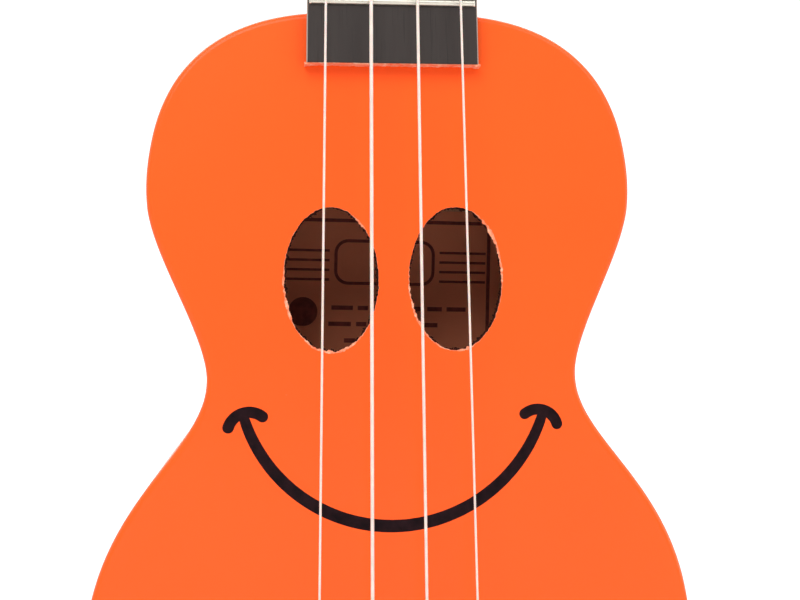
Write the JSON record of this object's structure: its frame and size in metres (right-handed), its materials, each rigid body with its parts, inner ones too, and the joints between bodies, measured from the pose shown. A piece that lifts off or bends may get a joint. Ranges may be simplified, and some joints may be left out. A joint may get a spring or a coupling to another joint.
{
  "type": "soprano ukulele",
  "caption": "Small four-string fretted instrument: hollow waisted body with oval sound holes, fretted neck, slotted bridge and open worm-geared tuners that turn.",
  "frame": {"origin": "on the neck's flat front plane, at the line where the headstock begins, in the middle of the neck: a wall hanger's yoke holds the instrument there", "axes": "+Z along the neck towards the headstock, -Y out of the soundboard, +X towards the first (A) string"},
  "size_m": [0.1516, 0.0661, 0.5317],
  "materials": {
    "painted_top": "satin orange paint",
    "painted_body": "satin orange paint",
    "raw_wood": "bare",
    "neck_wood": "satin",
    "fretboard": "oiled",
    "bridge_wood": "oiled",
    "fret_metal": "polished nickel silver",
    "bone": "polished",
    "nylon": "clear white",
    "nickel": "nickel plated",
    "tuner_button": "pearl white"
  },
  "bodies": {
    "instrument": {"top_plate": "painted_top", "back_plate": "painted_body", "rim_bass": "painted_body", "rim_treble": "painted_body", "neck_block": "raw_wood", "tail_block": "raw_wood", "lining_top_bass": "raw_wood", "lining_top_treble": "raw_wood", "lining_back_bass": "raw_wood", "lining_back_treble": "raw_wood", "brace_top_upper": "raw_wood", "brace_top_lower": "raw_wood", "brace_back_upper": "raw_wood", "brace_back_lower": "raw_wood", "bridge_patch": "raw_wood", "neck": "neck_wood", "fretboard": "fretboard", "nut": "bone", "saddle": "bone", "fret_01": "fret_metal", "fret_02": "fret_metal", "fret_03": "fret_metal", "fret_04": "fret_metal", "fret_05": "fret_metal", "fret_06": "fret_metal", "fret_07": "fret_metal", "fret_08": "fret_metal", "fret_09": "fret_metal", "fret_10": "fret_metal", "fret_11": "fret_metal", "fret_12": "fret_metal", "bridge": "bridge_wood", "string_g": "nylon", "string_c": "nylon", "string_e": "nylon", "string_a": "nylon", "tuner_plate_g": "nickel", "tuner_plate_c": "nickel", "tuner_plate_e": "nickel", "tuner_plate_a": "nickel"},
    "key_g": {"tuner_worm_g": "nickel", "tuner_button_g": "tuner_button"},
    "post_g": {"tuner_post_g": "nickel", "tuner_gear_g": "nickel", "winding_g": "nylon"},
    "key_c": {"tuner_worm_c": "nickel", "tuner_button_c": "tuner_button"},
    "post_c": {"tuner_post_c": "nickel", "tuner_gear_c": "nickel", "winding_c": "nylon"},
    "key_e": {"tuner_worm_e": "nickel", "tuner_button_e": "tuner_button"},
    "post_e": {"tuner_post_e": "nickel", "tuner_gear_e": "nickel", "winding_e": "nylon"},
    "key_a": {"tuner_worm_a": "nickel", "tuner_button_a": "tuner_button"},
    "post_a": {"tuner_post_a": "nickel", "tuner_gear_a": "nickel", "winding_a": "nylon"}
  },
  "joints": [
    {"name": "key_g_turn", "type": "hinge", "parent": "instrument", "child": "key_g", "pos_m": [-0.0165, 0.02575, 0.0413], "axis": [1, 0, 0], "continuous": true},
    {"name": "post_g_turn", "type": "hinge", "parent": "instrument", "child": "post_g", "pos_m": [-0.0165, 0.0079, 0.03717], "axis": [0, -0.9781, 0.2079], "continuous": true},
    {"name": "key_c_turn", "type": "hinge", "parent": "instrument", "child": "key_c", "pos_m": [-0.0165, 0.03407, 0.08042], "axis": [1, 0, 0], "continuous": true},
    {"name": "post_c_turn", "type": "hinge", "parent": "instrument", "child": "post_c", "pos_m": [-0.0165, 0.01622, 0.0763], "axis": [0, -0.9781, 0.2079], "continuous": true},
    {"name": "key_e_turn", "type": "hinge", "parent": "instrument", "child": "key_e", "pos_m": [0.0165, 0.03407, 0.08042], "axis": [1, 0, 0], "continuous": true},
    {"name": "post_e_turn", "type": "hinge", "parent": "instrument", "child": "post_e", "pos_m": [0.0165, 0.01622, 0.0763], "axis": [0, -0.9781, 0.2079], "continuous": true},
    {"name": "key_a_turn", "type": "hinge", "parent": "instrument", "child": "key_a", "pos_m": [0.0165, 0.02575, 0.0413], "axis": [1, 0, 0], "continuous": true},
    {"name": "post_a_turn", "type": "hinge", "parent": "instrument", "child": "post_a", "pos_m": [0.0165, 0.0079, 0.03717], "axis": [0, -0.9781, 0.2079], "continuous": true}
  ],
  "couplings": [
    {"joint": "post_g_turn", "follows": "key_g_turn", "ratio": 0.071429},
    {"joint": "post_c_turn", "follows": "key_c_turn", "ratio": 0.071429},
    {"joint": "post_e_turn", "follows": "key_e_turn", "ratio": 0.071429},
    {"joint": "post_a_turn", "follows": "key_a_turn", "ratio": 0.071429}
  ]
}
